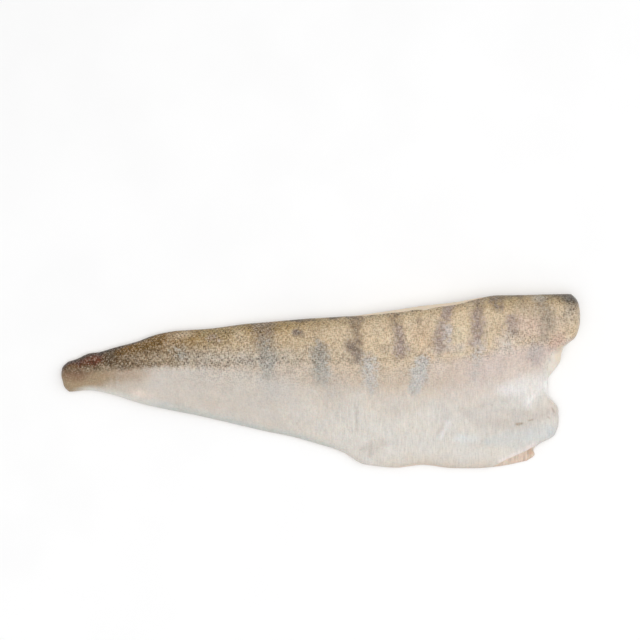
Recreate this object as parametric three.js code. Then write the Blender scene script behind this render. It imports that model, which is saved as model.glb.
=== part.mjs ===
// A frozen zander fillet, skin side up: one boned side of the fish, in one piece from tail cut to collar cut.
// It lies on its cut side, which froze flat. +X runs from the tail to the collar, +Y from the belly to the
// back and +Z up. The origin is below the middle of the fillet, on the surface that it lies on.
import * as THREE from "three";

// Driving dimensions, in millimetres.
const LENGTH = 312; // tail cut to collar cut
const WIDTH = 105; // back to belly, across the belly flap
const THICKNESS = 20; // of the loin, behind the collar

// The mesh: how many strips lie along and across each side, and how far they crowd towards the edges.
const STRIPS_ALONG = 92;
const STRIPS_ACROSS = 30;
const CROWDING_ALONG = 0.6;
const CROWDING_ACROSS = 0.55;

// The outline seen from above. Places along are shares of LENGTH and places across are shares of WIDTH,
// both from the origin. The two cuts go from the back edge at 0 to the belly edge at 1.
const BACK_EDGE = [
  [-0.488, 0.111], [-0.47, 0.128], [-0.45, 0.157], [-0.428, 0.166], [-0.4, 0.191], [-0.35, 0.231],
  [-0.328, 0.256], [-0.286, 0.285], [-0.23, 0.297], [-0.134, 0.33], [-0.038, 0.354], [0.049, 0.371],
  [0.126, 0.401], [0.199, 0.434], [0.259, 0.454], [0.319, 0.484], [0.406, 0.4945], [0.47, 0.4985],
  [0.5, 0.5],
];
const BELLY_EDGE = [
  [-0.5, -0.0605], [-0.4855, -0.0605], [-0.442, -0.052], [-0.413, -0.068], [-0.346, -0.128],
  [-0.23, -0.201], [-0.115, -0.281], [-0.038, -0.331], [0, -0.3635], [0.03, -0.392], [0.047, -0.4135],
  [0.078, -0.471], [0.105, -0.486], [0.145, -0.4965], [0.197, -0.4815], [0.251, -0.4985], [0.28, -0.5],
  [0.309, -0.4985], [0.357, -0.483], [0.398, -0.4575], [0.5, -0.408],
];
const TAIL_CUT = [[0, -0.488], [0.17, -0.497], [0.4, -0.5], [0.67, -0.497], [0.88, -0.4925], [1, -0.4855]];
const COLLAR_CUT = [
  [0, 0.485], [0.035, 0.494], [0.09, 0.499], [0.15, 0.5], [0.21, 0.498], [0.262, 0.4925], [0.29, 0.487],
  [0.326, 0.473], [0.368, 0.4655], [0.423, 0.463], [0.472, 0.4515], [0.521, 0.4395], [0.57, 0.4395],
  [0.61, 0.439], [0.65, 0.4455], [0.694, 0.4565], [0.764, 0.4595], [0.836, 0.456], [0.885, 0.4435],
  [0.907, 0.4235], [0.931, 0.413], [0.985, 0.4095], [1, 0.398],
];

// The thickest line of the loin: shares of THICKNESS along the fillet.
const RIDGE = [
  [-0.5, 0.37], [-0.4, 0.47], [-0.25, 0.62], [-0.1, 0.77], [0.08, 0.9], [0.25, 0.98], [0.38, 1], [0.5, 0.93],
];

// Three cross-sections, from the back edge at 0 to the belly edge at 1: shares of the ridge's thickness.
const TAIL_SECTION = [[0, 0.72], [0.18, 0.92], [0.4, 1], [0.6, 0.93], [0.8, 0.76], [1, 0.52]];
const MIDDLE_SECTION = [
  [0, 0.66], [0.1, 0.87], [0.24, 1], [0.36, 0.98], [0.48, 0.85], [0.64, 0.6], [0.8, 0.41], [1, 0.25],
];
const COLLAR_SECTION = [
  [0, 0.72], [0.08, 0.9], [0.2, 1], [0.33, 0.95], [0.44, 0.74], [0.56, 0.48], [0.7, 0.33], [0.85, 0.27],
  [1, 0.19],
];
const TAIL_TO_MIDDLE = [-0.42, -0.1];
const MIDDLE_TO_COLLAR = [-0.02, 0.3];

// How far in each edge rounds over, in millimetres, and how high up the edge its outermost line runs.
const BACK_ROUNDING = 6.5;
const BELLY_ROUNDING = 3;
const TAIL_ROUNDING = 3.5;
const COLLAR_ROUNDING = 4.5;
const UNDERSIDE_ROUNDING = 2;
const EDGE_LINE = 0.3;

// The collar was cut on a slant below the loin, so the flesh there slopes off further in.
const SLANT_CENTRE = 0.47;
const SLANT_REACH = 0.17;
const SLANT_ROUNDING = 8;

// Folds of the belly flap and the loin's low swells: the middle as shares of LENGTH and WIDTH, then the
// half length and half width in millimetres, the turn in degrees and the rise in millimetres.
const FOLDS = [
  { at: [0.338, -0.07], long: 36, wide: 8, turn: 12, rise: 1.5 },
  { at: [0.357, -0.208], long: 38, wide: 7.5, turn: -9, rise: -1.5 },
  { at: [0.348, -0.322], long: 34, wide: 8, turn: -3, rise: 1.2 },
  { at: [0.145, -0.38], long: 20, wide: 11, turn: 8, rise: 0.9 },
  { at: [0.24, -0.26], long: 20, wide: 9, turn: 58, rise: 1 },
  { at: [0.175, -0.2], long: 26, wide: 10, turn: 15, rise: -0.8 },
  { at: [0.435, -0.22], long: 12, wide: 10, turn: 80, rise: 0.7 },
  { at: [0.05, -0.25], long: 30, wide: 14, turn: -20, rise: 0.6 },
  { at: [-0.2, 0.02], long: 46, wide: 13, turn: -14, rise: 0.5 },
  { at: [0.3, 0.33], long: 60, wide: 16, turn: 4, rise: 0.5 },
];

// At the flap's torn corner the bare flesh lies a step lower. The step's line runs between these places.
const STEP_FROM = [0.342, -0.471];
const STEP_TO = [0.412, -0.374];
const STEP_DROP = 1.4;
const STEP_RUN = 2.5;

// The cut side lies flat except along the groove that the backbone left, which ends before the tail, and
// under the belly flap, where the ribs were. Places across are shares of the local width. The groove's half
// width, the groove's depth and the hollow's rise are in millimetres.
const GROOVE_LINE = [[-0.5, 0.42], [-0.25, 0.4], [0, 0.38], [0.25, 0.36], [0.5, 0.38]];
const GROOVE_START = [-0.44, -0.3];
const GROOVE_REACH = 4.5;
const GROOVE_DEPTH = 1;
const HOLLOW_MIDDLE = [0.25, 0.7];
const HOLLOW_REACH = [0.2, 0.2];
const HOLLOW_RISE = 1.7;

const { lerp, smoothstep, degToRad } = THREE.MathUtils;

// A smooth curve through [place, value] points, level beyond both ends.
function profile(points) {
  const place = points.map((point) => point[0]);
  const value = points.map((point) => point[1]);
  const last = points.length - 1;
  const gap = (i) => place[i + 1] - place[i];
  const grade = (i) => (value[i + 1] - value[i]) / gap(i);
  const slope = place.map((_, i) => {
    if (i === 0) return grade(0);
    if (i === last) return grade(last - 1);
    return (grade(i - 1) * gap(i) + grade(i) * gap(i - 1)) / (gap(i - 1) + gap(i));
  });
  return (at) => {
    if (at <= place[0]) return value[0];
    if (at >= place[last]) return value[last];
    const i = place.findIndex((next) => next > at) - 1;
    const t = (at - place[i]) / gap(i);
    const start = value[i] * (1 + 2 * t) + slope[i] * gap(i) * t;
    const end = value[i + 1] * (3 - 2 * t) - slope[i + 1] * gap(i) * (1 - t);
    return start * (1 - t) ** 2 + end * t ** 2;
  };
}

const back = profile(BACK_EDGE);
const belly = profile(BELLY_EDGE);
const tailCut = profile(TAIL_CUT);
const collarCut = profile(COLLAR_CUT);
const ridge = profile(RIDGE);
const tailSection = profile(TAIL_SECTION);
const middleSection = profile(MIDDLE_SECTION);
const collarSection = profile(COLLAR_SECTION);
const grooveLine = profile(GROOVE_LINE);

// 1 at the middle, falling smoothly to 0 at a distance of 1 and beyond.
function swell(distance) {
  return Math.max(0, 1 - distance ** 2) ** 2;
}

// The rise of a rounded edge: 0 at the edge, up a quarter circle to 1 at the rounding's inner end.
function rounded(inward, rounding) {
  return Math.sqrt(1 - Math.max(0, 1 - inward / rounding) ** 2);
}

// A place on the fillet from its shares along and across, both from 0 to 1.
function placeAt(along, across) {
  const x = lerp(tailCut(across), collarCut(across), along);
  const width = (back(x) - belly(x)) * WIDTH;
  const length = (collarCut(across) - tailCut(across)) * LENGTH;
  return {
    x,
    y: lerp(back(x), belly(x), across),
    across,
    fromBack: across * width,
    fromBelly: (1 - across) * width,
    fromTail: along * length,
    fromCollar: (1 - along) * length,
  };
}

function foldRise(place) {
  return FOLDS.reduce((sum, fold) => {
    const dx = (place.x - fold.at[0]) * LENGTH;
    const dy = (place.y - fold.at[1]) * WIDTH;
    const turn = degToRad(fold.turn);
    const along = (dx * Math.cos(turn) + dy * Math.sin(turn)) / fold.long;
    const across = (dy * Math.cos(turn) - dx * Math.sin(turn)) / fold.wide;
    return sum + fold.rise * swell(Math.hypot(along, across));
  }, 0);
}

// How far the bare corner of the flap lies below the skin, in millimetres.
function stepDrop(place) {
  const run = [(STEP_TO[0] - STEP_FROM[0]) * LENGTH, (STEP_TO[1] - STEP_FROM[1]) * WIDTH];
  const from = [(place.x - STEP_FROM[0]) * LENGTH, (place.y - STEP_FROM[1]) * WIDTH];
  const beyond = (from[0] * run[1] - from[1] * run[0]) / Math.hypot(...run);
  return STEP_DROP * smoothstep(beyond, 0, STEP_RUN);
}

// Thickness before the edges round off, in millimetres.
function thickness({ x, y, across }) {
  const body = lerp(tailSection(across), middleSection(across), smoothstep(x, ...TAIL_TO_MIDDLE));
  const section = lerp(body, collarSection(across), smoothstep(x, ...MIDDLE_TO_COLLAR));
  return THICKNESS * ridge(x) * section + foldRise({ x, y }) - stepDrop({ x, y });
}

// How far the fillet arches up off the surface that it lies on, in millimetres.
function arch({ x, across }) {
  const offMiddle = [(x - HOLLOW_MIDDLE[0]) / HOLLOW_REACH[0], (across - HOLLOW_MIDDLE[1]) / HOLLOW_REACH[1]];
  return HOLLOW_RISE * swell(Math.hypot(...offMiddle));
}

function groove({ x, across, fromBack, fromBelly }) {
  const offLine = (across - grooveLine(x)) * (fromBack + fromBelly);
  return GROOVE_DEPTH * smoothstep(x, ...GROOVE_START) * swell(offLine / GROOVE_REACH);
}

function collarRounding(across) {
  return COLLAR_ROUNDING + SLANT_ROUNDING * swell((across - SLANT_CENTRE) / SLANT_REACH);
}

function skinHeight(place) {
  const thick = thickness(place);
  const edgeLine = EDGE_LINE * thick;
  const rise =
    rounded(place.fromBack, BACK_ROUNDING) *
    rounded(place.fromBelly, BELLY_ROUNDING) *
    rounded(place.fromTail, TAIL_ROUNDING) *
    rounded(place.fromCollar, collarRounding(place.across));
  return lerp(edgeLine, thick + arch(place), rise);
}

function cutHeight(place) {
  const inward = Math.min(place.fromBack, place.fromBelly, place.fromTail, place.fromCollar);
  const rise = rounded(inward, UNDERSIDE_ROUNDING);
  return lerp(EDGE_LINE * thickness(place), arch(place) + groove(place), rise);
}

// Shares from 0 to 1 for the lines between strips, closer together towards both edges.
function spread(strips, crowding) {
  return Array.from({ length: strips + 1 }, (_, i) => {
    const even = i / strips;
    return lerp(even, 0.5 - 0.5 * Math.cos(Math.PI * even), crowding);
  });
}

// One closed surface: a skin side and a cut side that share the line of vertices round the edge.
function filletGeometry() {
  const alongs = spread(STRIPS_ALONG, CROWDING_ALONG);
  const acrosses = spread(STRIPS_ACROSS, CROWDING_ACROSS);
  const vertices = [];
  const addVertex = (place, z) => {
    vertices.push(new THREE.Vector3(place.x * LENGTH, place.y * WIDTH, z));
    return vertices.length - 1;
  };

  const onEdge = (i, j) => i === 0 || i === STRIPS_ALONG || j === 0 || j === STRIPS_ACROSS;
  const skinSide = [];
  const cutSide = [];
  alongs.forEach((along, i) => {
    skinSide.push([]);
    cutSide.push([]);
    acrosses.forEach((across, j) => {
      const place = placeAt(along, across);
      const skin = addVertex(place, skinHeight(place));
      skinSide[i].push(skin);
      cutSide[i].push(onEdge(i, j) ? skin : addVertex(place, cutHeight(place)));
    });
  });

  // Each cell is split so that no triangle has all its corners on the edge.
  const triangles = [];
  const addCell = (a, b, c, d, throughA) => {
    if (throughA) triangles.push(a, b, c, a, c, d);
    else triangles.push(a, b, d, b, c, d);
  };
  for (let i = 0; i < STRIPS_ALONG; i++) {
    for (let j = 0; j < STRIPS_ACROSS; j++) {
      const throughA = i < STRIPS_ALONG / 2 === j < STRIPS_ACROSS / 2;
      const [top, low] = [skinSide, cutSide];
      addCell(top[i][j], top[i][j + 1], top[i + 1][j + 1], top[i + 1][j], throughA);
      addCell(low[i][j], low[i + 1][j], low[i + 1][j + 1], low[i][j + 1], throughA);
    }
  }

  const geometry = new THREE.BufferGeometry().setFromPoints(vertices);
  geometry.setIndex(triangles);
  geometry.computeVertexNormals();
  return geometry;
}

// Pale flesh tinted by the thin olive skin over it, under a light ice glaze.
function filletMaterial() {
  return new THREE.MeshStandardMaterial({ color: 0xcdb9a0, roughness: 0.5, metalness: 0 });
}

const fillet = new THREE.Mesh(filletGeometry(), filletMaterial());
fillet.name = "fillet";

const part = new THREE.Group();
part.add(fillet);

export default part;
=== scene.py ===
"""A frozen zander fillet, skin side up: its flesh, the barred skin over it and a little frost on top.

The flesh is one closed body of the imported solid's form, and the skin is a thin closed sheet over it. Both are
fine grids in the same two directions: along the fillet from the tail cut at 0 to the collar cut at 1, and
across it from the back edge at 0 to the belly edge at 1. +X runs from tail to collar, +Y from belly to back.
"""

import math

import bpy
import numpy as np
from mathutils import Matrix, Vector


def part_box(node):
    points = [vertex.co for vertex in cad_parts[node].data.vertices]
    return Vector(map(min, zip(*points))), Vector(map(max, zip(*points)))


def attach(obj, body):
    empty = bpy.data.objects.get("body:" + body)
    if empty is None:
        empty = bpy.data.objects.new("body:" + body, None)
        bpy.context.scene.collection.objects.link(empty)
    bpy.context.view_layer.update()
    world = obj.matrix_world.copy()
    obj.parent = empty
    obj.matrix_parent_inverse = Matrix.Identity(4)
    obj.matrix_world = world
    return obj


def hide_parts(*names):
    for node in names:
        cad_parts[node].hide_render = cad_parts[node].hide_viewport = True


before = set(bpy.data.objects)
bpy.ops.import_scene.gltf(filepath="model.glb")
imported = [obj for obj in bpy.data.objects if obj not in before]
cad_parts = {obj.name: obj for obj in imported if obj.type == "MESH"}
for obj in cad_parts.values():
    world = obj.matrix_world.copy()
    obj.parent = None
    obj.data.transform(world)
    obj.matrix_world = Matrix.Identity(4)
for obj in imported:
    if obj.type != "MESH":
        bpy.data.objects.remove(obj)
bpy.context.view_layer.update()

MM = 0.001

# ---- Sizes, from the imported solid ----

low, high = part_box("fillet")
LENGTH = high.x - low.x
WIDTH = high.y - low.y
LOIN_SHARE = 0.979  # of the box's height; the low swell on top of the loin is the rest
THICKNESS = (high.z - low.z) * LOIN_SHARE

SKIN_PROUD = 0.25 * MM  # the skin's outer face stands this far above the solid's form
SKIN_THICKNESS = 0.6 * MM
FLESH_SUNK = 0.1 * MM

# The outline from above, in shares of LENGTH and WIDTH, as the solid has it.
BACK_EDGE = [
    (-0.488, 0.111), (-0.47, 0.128), (-0.45, 0.157), (-0.428, 0.166), (-0.4, 0.191), (-0.35, 0.231),
    (-0.328, 0.256), (-0.286, 0.285), (-0.23, 0.297), (-0.134, 0.33), (-0.038, 0.354), (0.049, 0.371),
    (0.126, 0.401), (0.199, 0.434), (0.259, 0.454), (0.319, 0.484), (0.406, 0.4945), (0.47, 0.4985),
    (0.5, 0.5),
]
BELLY_EDGE = [
    (-0.5, -0.0605), (-0.4855, -0.0605), (-0.442, -0.052), (-0.413, -0.068), (-0.346, -0.128),
    (-0.23, -0.201), (-0.115, -0.281), (-0.038, -0.331), (0, -0.3635), (0.03, -0.392), (0.047, -0.4135),
    (0.078, -0.471), (0.105, -0.486), (0.145, -0.4965), (0.197, -0.4815), (0.251, -0.4985), (0.28, -0.5),
    (0.309, -0.4985), (0.357, -0.483), (0.398, -0.4575), (0.5, -0.408),
]
TAIL_CUT = [(0, -0.488), (0.17, -0.497), (0.4, -0.5), (0.67, -0.497), (0.88, -0.4925), (1, -0.4855)]
COLLAR_CUT = [
    (0, 0.485), (0.035, 0.494), (0.09, 0.499), (0.15, 0.5), (0.21, 0.498), (0.262, 0.4925), (0.29, 0.487),
    (0.326, 0.473), (0.368, 0.4655), (0.423, 0.463), (0.472, 0.4515), (0.521, 0.4395), (0.57, 0.4395),
    (0.61, 0.439), (0.65, 0.4455), (0.694, 0.4565), (0.764, 0.4595), (0.836, 0.456), (0.885, 0.4435),
    (0.907, 0.4235), (0.931, 0.413), (0.985, 0.4095), (1, 0.398),
]

# The thickest line of the loin along the fillet, and three cross-sections as shares of it.
RIDGE = [
    (-0.5, 0.37), (-0.4, 0.47), (-0.25, 0.62), (-0.1, 0.77), (0.08, 0.9), (0.25, 0.98), (0.38, 1),
    (0.5, 0.93),
]
TAIL_SECTION = [(0, 0.72), (0.18, 0.92), (0.4, 1), (0.6, 0.93), (0.8, 0.76), (1, 0.52)]
MIDDLE_SECTION = [
    (0, 0.66), (0.1, 0.87), (0.24, 1), (0.36, 0.98), (0.48, 0.85), (0.64, 0.6), (0.8, 0.41), (1, 0.25),
]
COLLAR_SECTION = [
    (0, 0.72), (0.08, 0.9), (0.2, 1), (0.33, 0.95), (0.44, 0.74), (0.56, 0.48), (0.7, 0.33), (0.85, 0.27),
    (1, 0.19),
]
TAIL_TO_MIDDLE = (-0.42, -0.1)
MIDDLE_TO_COLLAR = (-0.02, 0.3)

BACK_ROUNDING = 6.5 * MM
BELLY_ROUNDING = 3 * MM
TAIL_ROUNDING = 3.5 * MM
COLLAR_ROUNDING = 4.5 * MM
UNDERSIDE_ROUNDING = 2 * MM
EDGE_LINE = 0.3  # the height of the sharpest line round the edge, as a share of the thickness
SLANT_CENTRE = 0.47
SLANT_REACH = 0.17
SLANT_ROUNDING = 8 * MM

# Folds: middle in millimetres, half length and half width, turn in degrees and rise in millimetres.
FOLDS = [
    ((105.5, -7.4), 36, 8, 12, 1.5),
    ((111.4, -21.8), 38, 7.5, -9, -1.5),
    ((108.6, -33.8), 34, 8, -3, 1.2),
    ((45.2, -39.9), 20, 11, 8, 0.9),
    ((74.9, -27.3), 20, 9, 58, 1),
    ((54.6, -21), 26, 10, 15, -0.8),
    ((135.7, -23.1), 12, 10, 80, 0.7),
    ((15.6, -26.3), 30, 14, -20, 0.6),
    ((-62.4, 2.1), 46, 13, -14, 0.5),
    ((93.6, 34.7), 60, 16, 4, 0.5),
]
STEP_FROM = (106.7, -49.5)
STEP_TO = (128.5, -39.3)
STEP_DROP = 1.4
STEP_RUN = 2.5

GROOVE_LINE = [(-0.5, 0.42), (-0.25, 0.4), (0, 0.38), (0.25, 0.36), (0.5, 0.38)]
GROOVE_START = (-0.44, -0.3)
GROOVE_REACH = 4.5 * MM
GROOVE_DEPTH = 1 * MM
HOLLOW_MIDDLE = (0.25, 0.7)
HOLLOW_REACH = (0.2, 0.2)
HOLLOW_RISE = 1.7 * MM

# ---- Colours ----


def srgb(red, green, blue):
    """A colour given in sRGB from 0 to 255, as the linear colour that shaders take."""
    shares = np.array([red, green, blue]) / 255
    return np.where(shares <= 0.04045, shares / 12.92, ((shares + 0.055) / 1.055) ** 2.4)


# The skin, from back to belly and from tail to collar.
UMBER = srgb(88, 60, 18)
GREY_TAN = srgb(196, 173, 140)
TAN = srgb(213, 191, 161)
GOLDEN = srgb(166, 139, 82)
DARK_GOLD = srgb(136, 98, 24)
ASHEN = srgb(195, 187, 176)
PIGMENT = srgb(58, 50, 36)
SPECK = srgb(62, 42, 22)
# painted highlight: the pale colour of the scales' glints, also given to pale grains
GLINT = srgb(250, 236, 218)
SOOT = srgb(84, 80, 74)
BEIGE = srgb(202, 186, 169)
ROSE = srgb(211, 194, 184)
TAIL_ROSE = srgb(182, 163, 146)
PALE_GREY = srgb(204, 195, 185)
PALE = srgb(215, 209, 201)
BLUE_GREY = srgb(194, 196, 191)

RED_BROWN = srgb(94, 53, 18)
RUST = srgb(118, 66, 30)
YELLOW_BROWN = srgb(163, 142, 115)
GREY_BROWN = srgb(120, 89, 67)
ASH_BROWN = srgb(98, 88, 74)

BAR_DARK = srgb(130, 115, 103)
BAR_BROWN = srgb(148, 128, 106)
BAR_PURPLE = srgb(166, 148, 138)
BAR_OLIVE = srgb(160, 146, 128)
BAR_GREY = srgb(168, 164, 155)
BAR_BLUE = srgb(192, 188, 183)
BAR_PALE = srgb(202, 194, 190)
BAR_LILAC = srgb(192, 180, 175)

WARM = srgb(205, 187, 167)
STRAW = srgb(220, 202, 171)
OCHRE = srgb(206, 179, 148)
EMBER = srgb(222, 191, 162)
CLOUD = srgb(176, 156, 134)
DRAB = srgb(178, 167, 152)
PALE_ROSE = srgb(218, 204, 193)
RIM_WHITE = srgb(216, 214, 207)
PEACH = srgb(207, 183, 166)
BLUSH = srgb(201, 170, 153)
YELLOW_CREAM = srgb(224, 206, 170)
LILAC = srgb(210, 197, 190)
# the white of frost, also laid on as painted highlight along the belly flap's ridges and pleats
FROST_AND_HIGHLIGHT_WHITE = srgb(233, 229, 226)
PINK_WHITE = srgb(229, 217, 213)
# painted shade: the darker band along the belly flap's valley
VALLEY_SHADE = srgb(202, 194, 186)
# pale blue-grey, made lighter as painted highlight along the belly flap's lower ridge
MIST_HIGHLIGHT = srgb(205, 206, 204)
# painted shade in the belly flap's creases
CREASE_SHADE = srgb(160, 142, 126)
LINE_BROWN = srgb(104, 90, 70)
# painted shade in the two creases of the belly
FOLD_SHADE = srgb(194, 185, 175)

SHEEN = 0.018  # what the skin's own sheen adds to its colour in plain white light
DARKEST = 0.004  # the least of a colour's three numbers

# The flesh.
FLESH_CREAM = srgb(234, 228, 218)
FLESH_GREY = srgb(214, 206, 194)
FLESH_PINK = srgb(207, 190, 177)
FLESH_MIDLINE = srgb(205, 193, 175)
FLESH_BROWN = srgb(206, 184, 166)
FLESH_RUST = srgb(186, 146, 118)
FLESH_EDGE = srgb(180, 171, 154)
FLESH_TAIL = srgb(184, 168, 147)
RIM_CREAM = srgb(226, 207, 180)
NOTCH_CREAM = srgb(230, 223, 211)

# ---- What the skin shows: places and sizes in millimetres from the origin ----

LATERAL_LINE = [
    (-156, 6.5), (-139, 8.9), (-128, 9.8), (-108, 10.4), (-58, 10.5), (-36, 11.4), (18, 11.7), (42, 12.5),
    (60, 13.5), (108, 17.3), (132, 21.5), (156, 24),
]

# How far the skin stops short of the back edge and of the belly edge, along the fillet.
BACK_INSET = [(14, 0.2), (36, 2.4), (64, 3.2), (86, 2.4), (104, 0.2)]
BELLY_INSET = [(0, 0.2), (16, 0.5), (44, 0.5), (52, 1.1), (70, 1), (78, 0.4), (104, 0.4)]
# How far it stops short of the collar cut, from the back edge at 0 to the belly edge at 1.
COLLAR_INSET = [(0.27, 0.2), (0.33, 2), (0.38, 7.5), (0.43, 9), (0.47, 6), (0.5, 2), (0.53, 0.3), (0.8, 0.3)]

# How far colours reach along the fillet, and how much of them shows. First those at the lateral line: beige
# below it, where the back's colours start to fade and end, ashen above it, and the line's own brown.
BEIGE_REACH = [(-150, 12), (-110, 9), (-95, 6), (-60, 5), (-20, 18), (5, 36), (90, 40), (150, 26)]
BACK_START = [(-118, 3.5), (-104, 0.8), (-80, -1.5), (-40, -4)]
BACK_END = [(-118, 5.5), (-104, 4), (-60, 4), (0, 8), (40, 14), (85, 7), (110, 3), (150, 4)]
ASHEN_SHARE = [(-88, 0), (-68, 0.7), (-30, 0.6), (30, 0)]
LINE_DROP = [(-112, 2), (-95, 0.5), (-60, 0)]
LINE_REACH = [(-112, 3.2), (-95, 2.6), (-40, 2.6), (30, 1.2)]
LINE_SHARE = [
    (-156, 0), (-138, 0.5), (-120, 0.65), (-110, 0.3), (-100, 0.1), (-10, 0.15), (20, 0.3), (60, 0.2),
    (78, 0),
]
# The white rim along the belly, and the dark pigment and the golden band along the back.
RIM_REACH = [(-150, 3), (-125, 5), (-90, 7), (-40, 5)]
PIGMENT_REACH = [
    (-156, 1.4), (-131, 2.2), (-126, 2.6), (-119, 1.2), (-92, 1.2), (-78, 0.9), (-46, 0.9), (-38, 1.9),
    (20, 1.8), (36, 0.9), (60, 1), (94, 1.2), (101, 2.2), (128, 2.2), (137, 1.2), (146, 2.8), (156, 4),
]
PIGMENT_SHARE = [
    (-156, 0.9), (-100, 0.9), (-88, 0.15), (-74, 0.15), (-50, 0.5), (-38, 0.85), (20, 0.8), (34, 0.3),
    (66, 0.28), (78, 0.2), (92, 0.25), (100, 0.6),
]
PIGMENT_GAPS = [(-115, 0.3), (-95, 0.9), (94, 1), (102, 0.3)]
GOLDEN_REACH = [
    (-128, 3), (-112, 5), (-95, 7), (-60, 7), (-10, 5), (20, 5), (45, 3.5), (90, 4), (102, 6.5), (130, 5),
    (156, 5),
]
GOLDEN_SHARE = [(-20, 0.85), (30, 0.3), (90, 0.3), (104, 0.8)]
# Dark specks above the lateral line, along it and at the back edge, and grains above the lateral line.
SPECKS = [(-156, 0.8), (-112, 0.72), (-85, 0.56), (-40, 0.34), (20, 0.08)]
LINE_SPECKS = [(-120, 0.3), (-105, 0.1), (-50, 0.15), (0, 0.26), (60, 0)]
BACK_SPECKS = [(-104, 0.6), (-90, 0.3), (-72, 0.15), (-56, 0.5)]
GRAINS = [
    (-156, 0.3), (-120, 0.5), (-90, 0.5), (-80, 0.38), (-40, 0.14), (20, 0.08), (60, 0.12), (90, 0.26),
    (156, 0.36),
]

# Marks: the line that each runs along as (x, y, half width), its colour and its strength.
BARS = [
    ([(-84.5, 16.5, 4.6), (-83, 14, 4)], BAR_GREY, 0.6),
    ([(-65.5, 25.3, 2.6), (-61.5, 24.6, 2.6)], BAR_PURPLE, 0.5),
    ([(-34, 33, 6), (-34, 21.5, 6)], BAR_BROWN, 0.8),
    ([(-32.5, 20, 5), (-31.5, 6, 5.2)], BAR_GREY, 0.85),
    ([(-31, 5, 5), (-29.5, -8.5, 6.5)], BAR_BLUE, 0.35),
    ([(-14.5, 28, 2.4), (-12.3, 28.2, 2.2)], BAR_DARK, 0.75),
    ([(0, 30, 4), (-0.5, 19, 4.5)], BAR_BROWN, 0.25),
    ([(-0.5, 18.5, 5), (0.5, 2, 5)], BAR_GREY, 0.85),
    ([(4, 6, 4), (5.5, -7.5, 5)], BAR_BLUE, 0.4),
    ([(21.3, 38, 4.2), (21.3, 21.5, 4.2)], BAR_BROWN, 0.75),
    ([(19.5, 20.5, 4.4), (23.1, 14.2, 4.6)], BAR_DARK, 0.9),
    ([(29, 11.5, 4.6), (29.8, -2, 4.8)], BAR_BLUE, 0.75),
    ([(44, 40, 4), (45.4, 31, 3.4)], BAR_BROWN, 0.65),
    ([(46.8, 30, 3.2), (48, 17.5, 4.4)], BAR_PURPLE, 0.85),
    ([(59, 37, 1.8), (59.2, 34.8, 1.8)], BAR_BROWN, 0.5),
    ([(76.8, 43.5, 3.6), (73, 34, 3.2), (70.4, 21.5, 4.6)], BAR_PURPLE, 0.8),
    ([(76.2, 31, 2.2), (75.6, 24, 2.4)], BAR_PALE, 0.75),
    ([(60.3, 10.2, 4.6), (59, 2, 4.4), (56, -5, 3)], BAR_BLUE, 0.95),
    ([(94.5, 46.5, 3.4), (94.8, 44, 3.6)], BAR_BROWN, 0.7),
    ([(93.8, 40, 3.6), (94.2, 34, 3.8), (92.8, 23, 4.4)], BAR_PURPLE, 0.8),
    ([(94.5, 19.5, 3.8), (94, 14.5, 3.4)], BAR_PALE, 0.65),
    ([(93.6, 12, 3.6), (92.8, 1, 3.2)], BAR_BLUE, 0.45),
    ([(104.2, 48.2, 4), (106, 42.5, 3.2)], BAR_DARK, 0.65),
    ([(114.4, 36, 4), (113.6, 30.5, 4.6)], BAR_PURPLE, 0.75),
    ([(133, 43.5, 5), (134.5, 39, 6), (136, 32, 4)], BAR_OLIVE, 0.75),
    ([(134.5, 29, 3.6), (132.8, 25, 3.6)], BAR_OLIVE, 0.45),
    ([(128.4, 19, 4), (126.8, 12.5, 4)], BAR_LILAC, 0.75),
    ([(115, 26, 2.6), (132, 23.5, 3)], BAR_OLIVE, 0.2),
    ([(77, 9, 3), (76, 1.5, 3)], BAR_BLUE, 0.15),
    ([(111, 25, 3), (111.5, 19.5, 3)], BAR_BLUE, 0.35),
]
# Bands on the belly flap. The valley's band and the crease lines are painted shade, the white bands are frost
# with painted highlight along the ridges, and the blue-grey band is painted highlight on the lower ridge.
BANDS = [
    ([(84, -18, 1.5), (96, -22, 7), (112, -24.5, 7.5), (124, -22.5, 6), (136, -18.5, 2)], VALLEY_SHADE, 0.85),
    ([(100, -36, 2), (116, -34, 5), (138, -31.5, 5)], MIST_HIGHLIGHT, 0.8),
    ([(108, -6, 3), (120, -4, 6), (137, -1.5, 7)], FROST_AND_HIGHLIGHT_WHITE, 0.7),
    ([(137.5, 3, 2), (135.5, -3, 2), (137.5, -9, 1.5)], FROST_AND_HIGHLIGHT_WHITE * 1.1, 0.8),
    ([(131, -5.5, 2), (124, -13.5, 2.4)], FROST_AND_HIGHLIGHT_WHITE, 0.6),
    ([(76.5, -25, 1.4), (71.5, -34, 1.4)], FROST_AND_HIGHLIGHT_WHITE, 0.6),
    ([(73.5, -25, 0.9), (70, -31.5, 0.9)], LILAC, 0.6),
    ([(21.3, -16.4, 0.8), (21.9, -29.6, 0.8)], FOLD_SHADE, 0.7),
    ([(30.3, -36.2, 0.8), (29.7, -45.2, 0.8)], FOLD_SHADE, 0.7),
    ([(118, -26, 0.7), (121, -25.5, 0.6)], CREASE_SHADE, 0.85),
    ([(125.2, -23.9, 0.4), (127.6, -23.3, 0.4)], CREASE_SHADE, 0.7),
    ([(139, -16.4, 0.4), (140.2, -18.6, 0.5)], CREASE_SHADE, 0.5),
    ([(136.6, -21.6, 0.4), (137.6, -22.6, 0.4)], CREASE_SHADE, 0.4),
    ([(107, -48.5, 0.8), (118, -44, 1.4), (128.5, -38.5, 1.4)], PINK_WHITE, 0.85),
]

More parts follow.
